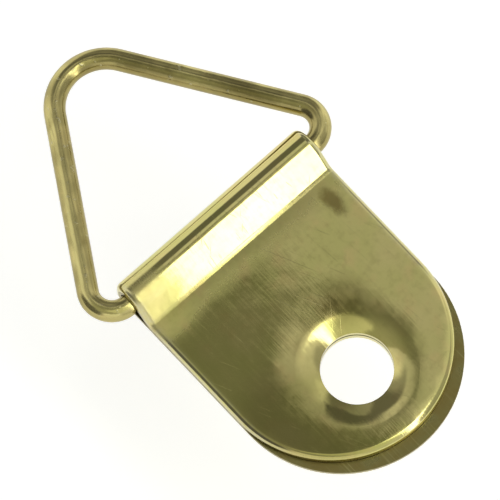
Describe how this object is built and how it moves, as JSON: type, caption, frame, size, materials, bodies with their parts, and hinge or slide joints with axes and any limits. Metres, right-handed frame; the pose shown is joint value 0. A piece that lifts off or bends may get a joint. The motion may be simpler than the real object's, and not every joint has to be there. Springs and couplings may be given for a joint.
{
  "type": "picture hanger",
  "caption": "Small screw-on picture hanger: a brass-plated strap folded round the bar of a triangular wire ring that swings freely.",
  "frame": {"origin": "middle of the screw hole, on the strap's back face that lies on the frame", "axes": "+X along the fold and the ring's bar, +Y along the strap towards the ring's tip, +Z along the screw hole out of the front face"},
  "size_m": [0.0156, 0.026, 0.0022],
  "materials": {
    "strap": "bright brass plating on pressed steel sheet, lightly scuffed",
    "ring": "bright brass plating on drawn steel wire"
  },
  "bodies": {
    "strap": {"strap": "strap"},
    "ring": {"ring": "ring"}
  },
  "joints": [
    {"name": "ring_swing", "type": "hinge", "parent": "strap", "child": "ring", "pos_m": [0, 0.0098, 0.00111], "axis": [1, 0, 0], "range_deg": [-140, 172]}
  ]
}
